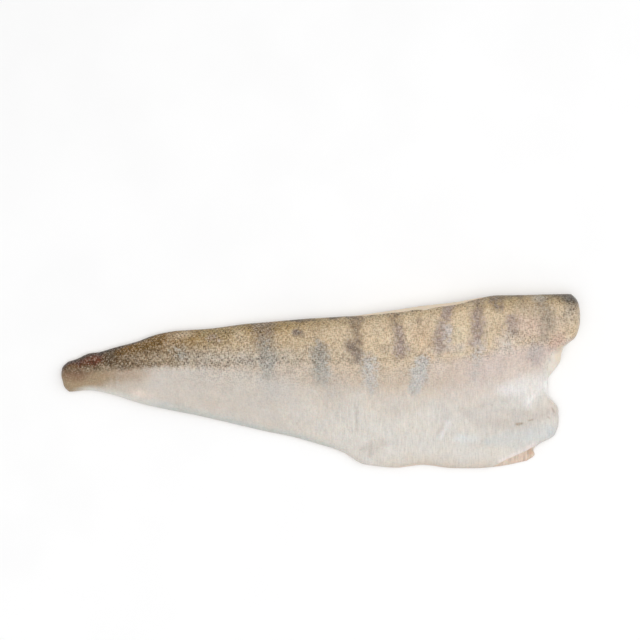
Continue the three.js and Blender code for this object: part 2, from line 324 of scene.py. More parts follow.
# Patches: middle, half sizes, turn in degrees, colour and strength.
PATCHES = [
    ((-115, 4), 20, 6, -6, TAIL_ROSE, 0.8),
    ((-84, 27), 10, 5, 8, TAN, 0.9),
    ((-91, 21), 6, 4, 0, TAN, 0.45),
    ((-48, 26), 10, 7, 0, TAN, 0.6),
    ((13, -30), 8, 8, 0, PALE * 1.06, 0.7),
    ((3, -10), 22, 12, 0, PALE_GREY, 0.6),
    ((46, -36), 4, 8, 0, PALE, 0.9),
    ((30, -41), 10, 6, 0, PALE_GREY * 0.88, 0.6),
    ((39, 18.5), 6, 5, 0, BAR_OLIVE, 0.55),
    ((53, 17), 6, 3.5, 0, BAR_OLIVE, 0.35),
    ((102, -3), 6, 4, 0, PALE, 0.5),
    ((24, -10), 10, 11, 0, PALE, 0.5),
    ((32, 1), 24, 10, -4, WARM, 0.7),
    ((43, -4), 9, 8, 0, WARM, 0.5),
    ((87, 24), 7, 6, 0, PEACH, 0.5),
    ((128, 31), 24, 13, 0, PEACH, 0.85),
    ((141, 23), 9, 6, 35, BLUSH, 0.8),
    ((144, 18), 4, 4.5, 20, YELLOW_CREAM, 0.7),
    ((70, 7), 8, 10, 0, PALE_ROSE, 0.75),
    ((111, 20), 12, 13, 0, PALE_ROSE, 0.75),
    ((113, 5), 18, 9, 8, PALE_ROSE, 0.5),
    ((123, 44), 13, 8, 0, CLOUD, 0.6),
    ((43, -16), 16, 13, 0, PALE_GREY, 0.8),
    ((37, -37), 6, 5, 0, PALE_GREY, 0.6),
    # painted highlight on the flap's lower ridge
    ((86, -34.5), 12, 4.5, 0, MIST_HIGHLIGHT * 1.15, 0.9),
    ((84, 27), 8, 16, 0, STRAW, 0.7),
    ((100.5, 40), 3, 9, 0, STRAW, 0.4),
    ((76, 19), 24, 4.5, 4, BAR_LILAC, 0.55),
    ((64.5, 13), 5, 4, 0, EMBER, 0.8),
    ((120, 35), 5, 8, 0, PEACH * 1.05, 0.5),
    ((131, 49), 7, 5, 0, ASHEN, 0.6),
    ((61, 27), 11, 13, 0, OCHRE, 0.8),
    ((150, 39), 9, 13, 0, DRAB, 0.5),
    ((111, -3.5), 8, 3.5, 10, LILAC, 0.5),
    ((140, -17), 5, 8, 0, ROSE, 0.4),
    ((152.5, 49.5), 13, 10, 0, SOOT, 1),
    ((144, 50.5), 12, 6, -2, SOOT, 0.5),
]
# The tail's own patches, laid over its colours.
TAIL_PATCHES = [
    ((-127, 15), 6, 9, 12, ASH_BROWN, 0.7),
    ((-137, 12.5), 9, 4.5, 12, RUST, 0.9),
    ((-100, 13.2), 32, 6, 0, TAN, 0.4),
    ((-108, -8), 11, 5, -8, PALE_ROSE * 1.08, 0.9),
    ((-64, 10), 9, 9, 0, BAR_OLIVE, 0.3),
    ((-42, 11.5), 7, 6, 0, ASHEN * 0.9, 0.8),
    ((-63, -14), 9, 5, -20, PALE_GREY * 0.9, 0.5),
    ((-147, 4.5), 14, 6.5, 4, GREY_BROWN, 0.85),
    ((-154.5, 9), 5, 5, 0, PIGMENT, 0.7),
]

# Creases in the skin of the belly flap, and pleats: the line as (x, y, half width) and the rise.
CREASES = [
    ([(21.3, -16.4, 1.2), (21.9, -29.6, 1.2)], -0.35),
    ([(30.3, -36.2, 1.2), (29.7, -45.2, 1.2)], -0.3),
    ([(73.2, -24.5, 1.3), (69.4, -32, 1.3)], -0.35),
    ([(76.8, -24.5, 1.5), (71.8, -34.5, 1.5)], 0.35),
    ([(117, -26.3, 1), (128, -23.2, 0.8)], -0.6),
    ([(139.3, -16, 0.9), (142.5, -19.6, 0.9)], -0.3),
    ([(131.5, -5.2, 1.5), (123.5, -14, 1.8)], 0.5),
    ([(134.5, -4, 1.2), (128, -13, 1.2)], -0.3),
    ([(104, -7.5, 2), (118, -2.5, 2.5), (136, 3.5, 2.5)], 0.22),
    ([(84, -17, 0.5), (98, -15.5, 2), (116, -13.5, 0.5)], -0.12),
    ([(36.5, -36.8, 1), (39.5, -38.2, 1)], 0.4),
]
# Frost, and places with more dark specks: middle, half sizes, turn in degrees and strength.
FROST_PATCHES = [
    ((124, -3), 20, 6, 20, 1),
    ((100, -10), 12, 4, 12, 0.6),
    ((58, 1), 5, 12, -12, 0.9),
    ((71, -12), 6, 4, 0, 0.6),
    ((82.5, -20), 3, 2.5, 0, 0.6),
    ((96, 20), 4, 7, 0, 0.5),
    ((-50, -4.5), 5, 3, 0, 0.3),
    ((-4, -7), 4, 3, 0, 0.4),
    ((-124, -3.5), 16, 2.5, -4, 0.7),
]
SPECK_PATCHES = [((152, 43), 13, 15, 0, 0.5), ((123, 25), 20, 4.5, -8, 0.5)]

# Scales: their pitch along the fillet, and the distance between rows from tail to collar.
SCALE_PITCH = 2.4
ROW_SPACING = [(-150, 1.6), (-60, 1.9), (60, 2.2), (150, 2.2)]
# How far the skin's relief goes, in millimetres, and the size of its grain.
SCALE_RISE = 0.06
SWELL_RISE = 0.22
RIPPLE_RISE = 0.06
LINE_DEPTH = 0.1
GRAIN_SIZE = 0.55 * MM

# ---- Curves, masks and noise ----


def lerp(start, end, share):
    return start + (end - start) * share


def smoothstep(value, start, end):
    share = np.clip((value - start) / (end - start), 0, 1)
    return share * share * (3 - 2 * share)


def fall(value, start, end):
    """1 up to the start, falling smoothly to 0 at the end."""
    return 1 - smoothstep(value, start, end)


def profile(points):
    """A smooth curve through (place, value) points, level beyond both ends."""
    place, value = np.array(points, float).T
    gap = np.diff(place)
    grade = np.diff(value) / gap
    inner = (grade[:-1] * gap[1:] + grade[1:] * gap[:-1]) / (gap[:-1] + gap[1:])
    slope = np.concatenate([grade[:1], inner, grade[-1:]])

    def curve(at):
        at = np.clip(at, place[0], place[-1])
        i = np.clip(np.searchsorted(place, at, side="right") - 1, 0, len(gap) - 1)
        t = (at - place[i]) / gap[i]
        start = value[i] * (1 + 2 * t) + slope[i] * gap[i] * t
        end = value[i + 1] * (3 - 2 * t) - slope[i + 1] * gap[i] * (1 - t)
        return start * (1 - t) ** 2 + end * t**2

    return curve


def steps(points):
    """A line of straight runs through (place, value) points, level beyond both ends."""
    place, value = np.array(points, float).T
    return lambda at: np.interp(at, place, value)


def swell(distance):
    """1 at the middle, falling smoothly to 0 at a distance of 1 and beyond."""
    return np.maximum(0, 1 - distance**2) ** 2


def rounded(inward, rounding):
    """The rise of a rounded edge: 0 at the edge, up a quarter circle to 1."""
    return np.sqrt(1 - (1 - np.clip(inward / rounding, 0, 1)) ** 2)


def noise(x, y, size, seed):
    """Smooth noise from -1 to 1 with bumps of about that size, in the units of x and y."""
    table = np.random.default_rng(seed).uniform(-1, 1, (256, 256))
    column, row = np.floor(x / size).astype(int), np.floor(y / size).astype(int)
    across, up = x / size - column, y / size - row
    across, up = (s * s * s * (s * (6 * s - 15) + 10) for s in (across, up))

    def value(i, j):
        return table[(column + i) % 256, (row + j) % 256]

    return lerp(lerp(value(0, 0), value(1, 0), across), lerp(value(0, 1), value(1, 1), across), up)


def rough(x, y, size, seed, layers=3):
    """Noise in several sizes, each half the one before it."""
    parts = [noise(x, y, size / 2**i, seed + i) / 2**i for i in range(layers)]
    return sum(parts) / sum(0.5**i for i in range(layers))


def oval(x, y, middle, long, wide, turn):
    """Distance from an oval's middle, as a share of its reach."""
    angle = math.radians(turn)
    dx, dy = x - middle[0], y - middle[1]
    along = (dx * math.cos(angle) + dy * math.sin(angle)) / long
    across = (dy * math.cos(angle) - dx * math.sin(angle)) / wide
    return np.hypot(along, across)


def off_line(x, y, points):
    """Distance from a line through points, as a share of the half width that each point gives it."""
    nearest = np.full(np.shape(x), np.inf)
    for (ax, ay, wide), (bx, by, next_wide) in zip(points, points[1:]):
        length = math.hypot(bx - ax, by - ay)
        share = np.clip(((x - ax) * (bx - ax) + (y - ay) * (by - ay)) / length**2, 0, 1)
        off = np.hypot(x - lerp(ax, bx, share), y - lerp(ay, by, share)) / lerp(wide, next_wide, share)
        nearest = np.minimum(nearest, off)
    return nearest


def mark(x, y, points, soft):
    """1 along a line, falling to 0 over its soft edges."""
    return fall(off_line(x, y, points), 1 - soft, 1 + soft)


# ---- The fillet's form ----

back, belly = profile(BACK_EDGE), profile(BELLY_EDGE)
tail_cut, collar_cut = profile(TAIL_CUT), profile(COLLAR_CUT)
ridge = profile(RIDGE)
tail_section, middle_section = profile(TAIL_SECTION), profile(MIDDLE_SECTION)
collar_section = profile(COLLAR_SECTION)
groove_line = profile(GROOVE_LINE)
lateral_line = profile(LATERAL_LINE)


class Place:
    """Places on the fillet, from their shares of its length and width. x_mm and y_mm are for the features."""

    def __init__(self, x_share, y_share):
        width = back(x_share) - belly(x_share)
        self.x_share = x_share
        self.across = (back(x_share) - y_share) / width
        self.width = width * WIDTH
        self.from_back = self.across * self.width
        self.from_belly = (1 - self.across) * self.width
        self.from_tail = (x_share - tail_cut(self.across)) * LENGTH
        self.from_collar = (collar_cut(self.across) - x_share) * LENGTH
        self.x, self.y = x_share * LENGTH, y_share * WIDTH
        self.x_mm, self.y_mm = self.x / MM, self.y / MM
        self.below = lateral_line(self.x_mm) - self.y_mm  # millimetres below the lateral line


def step_side(x, y):
    """How far a place lies beyond the line where the flap's skin ends, towards its bare corner."""
    run = np.subtract(STEP_TO, STEP_FROM)
    return ((x - STEP_FROM[0]) * run[1] - (y - STEP_FROM[1]) * run[0]) / np.hypot(*run)


def bare_corner(x, y):
    """1 on the flap's corner that the skin leaves bare, 0 elsewhere."""
    return smoothstep(step_side(x, y), -0.8, 0.6)


def thickness(place):
    x, y, across = place.x_mm, place.y_mm, place.across
    body = lerp(tail_section(across), middle_section(across), smoothstep(place.x_share, *TAIL_TO_MIDDLE))
    section = lerp(body, collar_section(across), smoothstep(place.x_share, *MIDDLE_TO_COLLAR))
    folds = sum(rise * swell(oval(x, y, *fold)) for *fold, rise in FOLDS)
    step = STEP_DROP * smoothstep(step_side(x, y), 0, STEP_RUN)
    return THICKNESS * ridge(place.x_share) * section + (folds - step) * MM


def arch(place):
    along = (place.x_share - HOLLOW_MIDDLE[0]) / HOLLOW_REACH[0]
    across = (place.across - HOLLOW_MIDDLE[1]) / HOLLOW_REACH[1]
    return HOLLOW_RISE * swell(np.hypot(along, across))


def groove(place):
    off = (place.across - groove_line(place.x_share)) * place.width
    return GROOVE_DEPTH * smoothstep(place.x_share, *GROOVE_START) * swell(off / GROOVE_REACH)


def skin_side(place):
    """The form's upper face, as points."""
    thick = thickness(place)
    slant = SLANT_ROUNDING * swell((place.across - SLANT_CENTRE) / SLANT_REACH)
    rise = (
        rounded(place.from_back, BACK_ROUNDING)
        * rounded(place.from_belly, BELLY_ROUNDING)
        * rounded(place.from_tail, TAIL_ROUNDING)
        * rounded(place.from_collar, COLLAR_ROUNDING + slant)
    )
    return np.stack([place.x, place.y, lerp(EDGE_LINE * thick, thick + arch(place), rise)], -1)


def cut_side(place, relief):
    """The form's lower face, as points, with relief that only rises into the flesh."""
    inward = np.minimum.reduce([place.from_back, place.from_belly, place.from_tail, place.from_collar])
    rise = rounded(inward, UNDERSIDE_ROUNDING)
    height = lerp(EDGE_LINE * thickness(place), arch(place) + groove(place) + relief, rise)
    return np.stack([place.x, place.y, height], -1)


def outward(points):
    """The upward normal at each point of a grid."""
    normal = np.cross(np.gradient(points, axis=1), np.gradient(points, axis=0))
    return normal / np.linalg.norm(normal, axis=-1, keepdims=True)


# ---- Meshes ----

CROWDING = 0.45  # how much closer together a grid's lines are towards its edges


def grid_shares(along_strips, across_strips):
    """A grid's shares from 0 to 1 along and across the fillet."""
    even = (np.linspace(0, 1, strips + 1) for strips in (along_strips, across_strips))
    crowded = (lerp(share, 0.5 - 0.5 * np.cos(math.pi * share), CROWDING) for share in even)
    return np.meshgrid(*crowded, indexing="ij")


def quads(numbers, upward):
    """The faces of a grid of vertex numbers, as a list of fours."""
    corners = [numbers[:-1, :-1], numbers[:-1, 1:], numbers[1:, 1:], numbers[1:, :-1]]
    faces = np.stack(corners, -1).reshape(-1, 4)
    return (faces if upward else faces[:, ::-1]).tolist()


def added(name, data):
    """A new object in the scene."""
    made = bpy.data.objects.new(name, data)
    bpy.context.scene.collection.objects.link(made)
    return made


def piece(name, vertices, faces, material):
    """A smooth mesh that rides with the part and stands for its solid."""
    mesh = bpy.data.meshes.new(name)
    mesh.from_pydata(vertices.tolist(), [], faces)
    mesh.shade_smooth()
    mesh.materials.append(material)
    made = added(name, mesh)
    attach(made, "root")
    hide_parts("fillet")
    return made


def add_values(made, name, values):
    """Stores one number for each vertex, for the material to read."""
    attribute = made.data.attributes.new(name, "FLOAT", "POINT")
    attribute.data.foreach_set("value", values.astype(np.float32))


def add_colours(made, name, colours):
    """Stores one colour for each vertex, for the material to read."""
    attribute = made.data.attributes.new(name, "FLOAT_COLOR", "POINT")
    opaque = np.pad(colours, ((0, 0), (0, 1)), constant_values=1)
    attribute.data.foreach_set("color", opaque.astype(np.float32).ravel())


def add_map(made, name, places):
    """Stores a two-number place for each vertex as a UV map."""
    corners = np.empty(len(made.data.loops), np.int32)
    made.data.loops.foreach_get("vertex_index", corners)
    layer = made.data.uv_layers.new(name=name)
    layer.uv.foreach_set("vector", places[corners].astype(np.float32).ravel())


def blend(colour, other, share):
    """colour mixed with another by a share at each place."""
    return colour + (other - colour) * np.clip(share, 0, 1)[..., None]


def under_sheen(colour):
    """A colour less what the surface's own sheen adds to it."""
    return np.maximum(colour - SHEEN, DARKEST)


# ---- The skin ----

SKIN_ALONG = 464
SKIN_ACROSS = 162
SKIN_BASE_ROWS = 44

back_inset, belly_inset, collar_inset = steps(BACK_INSET), steps(BELLY_INSET), steps(COLLAR_INSET)


def ragged(along, seed):
    """How unevenly the knife and the cold have left an edge, around 1."""
    return 1 + 0.3 * rough(along, 0 * along, 7, seed)


def skin_back(x_share):
    x = x_share * LENGTH / MM
    return back(x_share) - back_inset(x) * ragged(x, 11) * MM / WIDTH


def skin_belly(x_share):
    """The skin's lower edge: the belly edge, and then the line that leaves the flap's corner bare."""
    x = x_share * LENGTH / MM
    edge = belly(x_share) + belly_inset(x) * ragged(x, 13) * MM / WIDTH
    (start, low_end), (end, high_end) = STEP_FROM, STEP_TO
    line = lerp(low_end, high_end, np.clip((x - start) / (end - start), -1, 1)) + 0.5 * rough(x, 0 * x, 4, 15)
    return np.maximum(edge, line * MM / WIDTH)


def skin_place():
    """The skin's grid, which leaves strips of bare flesh along the fillet's edges."""
    along, across = grid_shares(SKIN_ALONG, SKIN_ACROSS)
    edge = np.linspace(0, 1, 4001)
    inset = collar_inset(edge) * ragged(100 * edge, 17) * MM / LENGTH
    end_x = collar_cut(edge) - inset
    end_y = lerp(back(collar_cut(edge)), belly(collar_cut(edge)), edge)
    share = (skin_back(end_x) - end_y) / (skin_back(end_x) - skin_belly(end_x))
    end = np.interp(across, np.maximum.accumulate(share), end_x)
    x = lerp(tail_cut(across), end, along)
    return Place(x, lerp(skin_back(x), skin_belly(x), across))


def scale_places(place, points):
    """Places in the pattern of scales: steps of one pitch along and of two rows across the skin, which are
    counted along its surface from the lateral line towards the belly."""
    lengths = np.linalg.norm(np.diff(points, axis=1), axis=-1) / MM
    run = np.pad(np.cumsum(lengths, axis=1), ((0, 0), (1, 0)))
    start = np.array([np.interp(0, b, r) for b, r in zip(place.below, run)])[:, None]
    return np.stack([place.x_mm / SCALE_PITCH, (run - start) / (2 * profile(ROW_SPACING)(place.x_mm))], -1)


def skin_relief(place, scales):
    """Rise of the skin's outer face in millimetres: swells, creases, scales and the lateral line."""
    x, y = place.x_mm, place.y_mm
    relief = SWELL_RISE * rough(x, y, 24, 21) + RIPPLE_RISE * rough(x, y, 5, 31)
    relief += sum(rise * mark(x, y, points, 0.8) for points, rise in CREASES)
    first, second = scales[..., 0] + scales[..., 1], scales[..., 0] - scales[..., 1]
    relief += SCALE_RISE * np.abs(np.sin(math.pi * first) * np.sin(math.pi * second)) * scaled(place)
    return relief - LINE_DEPTH * swell(scales[..., 1] / 0.3) * fall(x, 20, 90)


def scaled(place):
    """How plainly the scales show: less on the belly flap and at the tail."""
    flap = smoothstep(place.across, 0.5, 0.8) * smoothstep(place.x_mm, 20, 90)
    shown = 1 - 0.7 * flap - 0.35 * smoothstep(place.below, 2, 12)
    return shown * smoothstep(place.x_mm, -154, -135)


def belly_colours(x, below):
    """Pale at the belly edge, beige near the lateral line and rosy towards the collar."""
    pale = blend(PALE_GREY, PALE, smoothstep(x, -50, 40))
    near = blend(BEIGE, ROSE, smoothstep(x, 55, 100))
    reach = steps(BEIGE_REACH)(x)
    return blend(pale, near, fall(below, 0.15 * reach, reach))


def back_colours(x, below, from_edge):
    """Umber to tan from tail to collar, ashen near the lateral line and golden along the back edge."""
    colour = blend(UMBER, GREY_TAN, smoothstep(x, -135, -40))
    colour = blend(colour, TAN, smoothstep(x, -40, 30))
    colour = blend(colour, ASHEN, steps(ASHEN_SHARE)(x) * smoothstep(below, -12, -2))
    golden = blend(DARK_GOLD, GOLDEN, smoothstep(x, -98, -62))
    off_edge = np.maximum(from_edge, 0) / (2 * steps(GOLDEN_REACH)(x))
    return blend(colour, golden, steps(GOLDEN_SHARE)(x) * swell(off_edge))


def tail_coloured(colour, x, y, below):
    """Colours with the tail's red-brown above the lateral line and yellow-brown below it."""
    drift = x + 3 * rough(x, y, 8, 51)
    paling = smoothstep(below, 6, 14) * smoothstep(drift, -138, -122)
    brown = fall(drift, -128, -98) * smoothstep(below, -2, 2) * (1 - 0.7 * paling)
    colour = blend(colour, YELLOW_BROWN, brown)
    return blend(colour, RED_BROWN, fall(drift, -132, -127) * fall(below, -3, 3))


def patched(colour, x, y, patches):
    for *patch, shade, strength in patches:
        off = oval(x, y, *patch) + 0.2 * rough(x, y, 4, 101)
        colour = blend(colour, shade, strength * swell(off))
    return colour


def skin_colours(place):
    """The skin's colour at each place, without its bars."""
    x, y, from_belly = place.x_mm, place.y_mm, place.from_belly / MM
    from_edge = place.from_back / MM - back_inset(x)  # the skin's own back edge
    below = fringed(place) + 1.1 * rough(x, y, 4, 41)
    on_back = fall(below, steps(BACK_START)(x), steps(BACK_END)(x))
    colour = blend(belly_colours(x, below), back_colours(x, below, from_edge), on_back)
    colour = tail_coloured(colour, x, y, below)
    colour = patched(colour, x, y, TAIL_PATCHES + PATCHES)
    # The flap's bands: painted shade in its valley and creases, and frost with painted highlight on its ridges.
    for points, shade, strength in BANDS:
        colour = blend(colour, shade, strength * mark(x, y, points, 0.9))

    # The lateral line, thinner and fainter towards the collar.
    off = (fringed(place) - steps(LINE_DROP)(x)) / steps(LINE_REACH)(x)
    colour = blend(colour, LINE_BROWN, steps(LINE_SHARE)(x) * swell(off))

    # The skin's edges: white along the belly, beige on the flap, cream in the notch, dark along the back.
    rim = fall(from_belly, 0.5, steps(RIM_REACH)(x)) * smoothstep(x, -152, -138) * fall(x, 0, 20)
    colour = blend(colour, blend(RIM_WHITE, BLUE_GREY, smoothstep(x, -115, -85)), 0.9 * rim)
    flap = fall(from_belly, 0, 10) * smoothstep(x, 30, 55) * fall(x, 96, 112)
    colour = blend(colour, BEIGE, 0.5 * flap)
    from_end = place.from_collar / MM - collar_inset(place.across)
    notch = fall(from_end, 0, 4) * swell((place.across - 0.43) / 0.12)
    colour = blend(colour, NOTCH_CREAM, 0.8 * notch)
    colour = blend(colour, PIGMENT, pigment(place, from_edge))

    busy = speckled(place)
    clouds = 0.05 * rough(x, y, 9, 91) + (0.03 + 0.1 * busy) * rough(x, y, 3.5, 95)
    hue = (0.02 + 0.06 * busy) * rough(x, y, 7, 99)
    return under_sheen(colour * (1 + clouds[..., None] + hue[..., None] * np.array([1, 0, -1.5])))


def fringed(place):
    """Millimetres below the lateral line, for colours whose edge runs out in short streaks."""
    return place.below + 1.6 * rough(place.x_mm, 0.15 * place.y_mm, 1.9, 47, 2)


def bars(place):
    """How strongly the bars show at each place, and their colour there."""
    x, y = place.x_mm, place.y_mm
    pushed = x + 1.8 * rough(x, y, 5, 61), y + 1.8 * rough(x, y, 5, 71)
    strength, shade = 0 * x, BAR_PURPLE
    for points, colour, most in BARS:
        here = most * mark(*pushed, points, 1)
        shade = blend(shade, colour, np.maximum(here, here / np.maximum(strength + here, 1e-6)))
        strength = np.maximum(strength, here)
    return strength, under_sheen(shade)


def pigment(place, from_edge):
    """The dark line along the back, broken into dashes over most of the loin."""
    x, y = place.x_mm, place.y_mm
    reach = steps(PIGMENT_REACH)(x) * (1 + 0.8 * rough(x, y, 4, 111))
    solid = lerp(1, smoothstep(rough(x, 2 * y, 4, 121), -0.25, 0.25), steps(PIGMENT_GAPS)(x))
    return steps(PIGMENT_SHARE)(x) * solid * fall(from_edge, 0.3 * reach, 1.6 * reach)


def frost(place):
    """How thickly frost lies."""
    x, y = place.x_mm, place.y_mm
    return np.max([most * swell(oval(x, y, *patch)) for *patch, most in FROST_PATCHES], axis=0)


def speckled(place):
    """How thickly dark specks lie between the scales: most along the lateral line, the back and the tail."""
    x, y = place.x_mm, place.y_mm
    upper = fall(fringed(place), 0.5, 4.5)
    specks = upper * steps(SPECKS)(x)
    specks += steps(LINE_SPECKS)(x) * swell((place.below + 0.5) / 4)
    specks += upper * steps(BACK_SPECKS)(x) * fall(place.from_back / MM, 2, 8)
    specks += sum(most * swell(oval(x, y, *patch)) for *patch, most in SPECK_PATCHES)
    specks += 0.25 * bars(place)[0]
    return np.clip(specks, 0, 1) * smoothstep(x, -156, -140)


def grainy(place):
    """How strongly light and dark grains show: most towards the tail, above the lateral line."""
    x = place.x_mm
    upper = fall(fringed(place), 1, 6)
    grains = 0.1 + upper * steps(GRAINS)(x)
    grains += 0.12 * fall(place.below, 6, 26) * smoothstep(x, -80, -50)
    grains += 0.26 * fall(place.below, 4, 18) * smoothstep(x, -100, -60) * fall(x, 50, 90)
    grains += 0.12 * fall(place.below, 6, 16) * fall(x, -130, -90) * (1 - upper)
    return grains + 0.14 * bars(place)[0]


def zip_up(fine, coarse, rows, upward):
    """Triangles between a fine row of vertex numbers and a coarse one that has only some of its places."""
    faces = []
    for k, (start, end) in enumerate(zip(rows, rows[1:])):
        faces += [(fine[j], fine[j + 1], coarse[k]) for j in range(start, end)]
        faces.append((fine[end], coarse[k + 1], coarse[k]))
    return faces if upward else [face[::-1] for face in faces]


def make_skin(material):
    place = skin_place()
    form = skin_side(place)
    normal = outward(form)
    scales = scale_places(place, form)
    relief = np.maximum(skin_relief(place, scales) * MM, -0.9 * SKIN_PROUD)
    top = form + normal * (SKIN_PROUD + relief)[..., None]

    # The hidden lower face needs fewer rows.
    rows = np.unique(np.linspace(0, SKIN_ACROSS, SKIN_BASE_ROWS + 1).round().astype(int))
    base = (form + normal * (SKIN_PROUD - SKIN_THICKNESS))[:, rows]
    vertices = np.concatenate([top.reshape(-1, 3), base.reshape(-1, 3)])
    above = np.arange(top[..., 0].size).reshape(top.shape[:2])
    below = above.size + np.arange(base[..., 0].size).reshape(base.shape[:2])

    faces = quads(above, True) + quads(below, False)
    faces += quads(np.stack([below[:, 0], above[:, 0]], -1), True)
    faces += quads(np.stack([above[:, -1], below[:, -1]], -1), True)
    faces += zip_up(above[0], below[0], rows, False)
    faces += zip_up(above[-1], below[-1], rows, True)

    skin = piece("fillet_skin", vertices, faces, material)

    def both(values):
        return np.concatenate([part.reshape(-1, *values.shape[2:]) for part in (values, values[:, rows])])

    barred, bar_colours = bars(place)
    add_colours(skin, "tint", both(skin_colours(place)))
    add_colours(skin, "bar_tint", both(bar_colours))
    add_values(skin, "barred", both(barred))
    for name, shown in (("specks", speckled), ("scaled", scaled), ("grainy", grainy), ("frost", frost)):
        add_values(skin, name, both(shown(place)))
    add_map(skin, "scales", both(scales))


# ---- The flesh ----

FLESH_ALONG = 400
FLESH_ACROSS = 110
FLAKE_PITCH = 6.5
FLAKE_RISE = 0.22 * MM
CUT_GRAIN_RISE = 0.16 * MM
STRAND_RISE = 0.1 * MM


def flakes(place):
    """Where the sheets between the muscle's flakes meet the surface: 1 on the line, 0 between lines. They
    zigzag across the fillet in a W."""
    across = (place.across - groove_line(place.x_share)) * 4
    zigzag = np.abs((np.abs(across) + 0.35) % 1.1 - 0.55) * 13
    phase = (place.x_mm + zigzag + 1.2 * rough(place.x_mm, place.y_mm, 12, 131)) / FLAKE_PITCH
    return swell(np.minimum(np.abs(phase % 1 - 0.5) * 7, 1))


def cut_relief(place):
    lines = flakes(place) * (1 - 0.7 * smoothstep(place.across, 0.55, 0.75))
    grain = 0.5 + 0.5 * rough(place.x_mm, place.y_mm, 3, 141)
    return FLAKE_RISE * lines + CUT_GRAIN_RISE * grain


def cut_colours(place):
    """The cut side's colours: cream, pinker along the groove and at the belly, darker along the back."""
    x, y, across = place.x_mm, place.y_mm, place.across
    wander = 0.06 * rough(x, y, 18, 151)
    colour = blend(FLESH_CREAM, FLESH_GREY, 0.5 + 0.6 * rough(x, y, 22, 161))
    colour = blend(colour, FLESH_GREY, smoothstep(across + wander, 0.5, 0.75))
    off_groove = np.abs(across - groove_line(place.x_share)) * place.width / MM
    colour = blend(colour, FLESH_MIDLINE, 0.8 * fall(off_groove, 0.6, 5))
    pink = smoothstep(across + wander, 0.66, 0.88) * smoothstep(x, -20, 60)
    colour = blend(colour, FLESH_PINK, 0.8 * pink)
    colour = blend(colour, FLESH_EDGE, 0.75 * fall(across + wander, 0.02, 0.14))
    colour = blend(colour, FLESH_TAIL, 0.8 * fall(x, -156, -105))
    return blend(colour, FLESH_GREY * 0.92, 0.3 * flakes(place))


def bare_colours(place):
    """The flesh round the skin's edges: cream at the back and in the notch, brown on the corner."""
    x, y = place.x_mm, place.y_mm
    grain = rough(x, y, 4, 171)
    colour = blend(NOTCH_CREAM, FLESH_PINK, 0.2 + 0.25 * grain)
    colour = blend(colour, YELLOW_CREAM, 0.5 * swell(oval(x, y, (144, 15), 6, 7, -30)))
    colour = blend(colour, BLUSH, 0.8 * swell(oval(x, y, (141, 19.5), 6, 5, 0)))
    corner = bare_corner(x, y)
    colour = blend(colour, FLESH_BROWN, corner * (0.8 + 0.3 * grain))
    colour = blend(colour, FLESH_RUST, 0.5 * corner * swell(oval(x, y, (126.5, -42.5), 3.5, 4, 30)))
    colour = blend(colour, FLESH_BROWN, 0.6 * fall(place.from_belly / MM, 0.5, 2))
    return blend(colour, RIM_CREAM, fall(place.from_back / MM, 2, 5))


def make_flesh(material):
    along, across = grid_shares(FLESH_ALONG, FLESH_ACROSS)
    x = lerp(tail_cut(across), collar_cut(across), along)
    place = Place(x, lerp(back(x), belly(x), across))
    form = skin_side(place)
    strands = STRAND_RISE * rough(place.x_mm * 2.2, place.y_mm, 2.4, 181)
    top = form + outward(form) * (strands - FLESH_SUNK)[..., None]
    bottom = cut_side(place, cut_relief(place))

    above = np.arange(place.x.size).reshape(place.x.shape)
    below = above.copy()
    inner = np.s_[1:-1, 1:-1]
    below[inner] = above.size + np.arange(above[inner].size).reshape(above[inner].shape)
    vertices = np.concatenate([top.reshape(-1, 3), bottom[inner].reshape(-1, 3)])
    faces = quads(above, True) + quads(below, False)

    flesh = piece("fillet_flesh", vertices, faces, material)
    colours = [bare_colours(place).reshape(-1, 3), cut_colours(place)[inner].reshape(-1, 3)]
    add_colours(flesh, "tint", np.concatenate(colours))
    corner = bare_corner(place.x_mm, place.y_mm)
    add_values(flesh, "corner", np.concatenate([corner.ravel(), 0 * corner[inner].ravel()]))


# ---- Materials ----


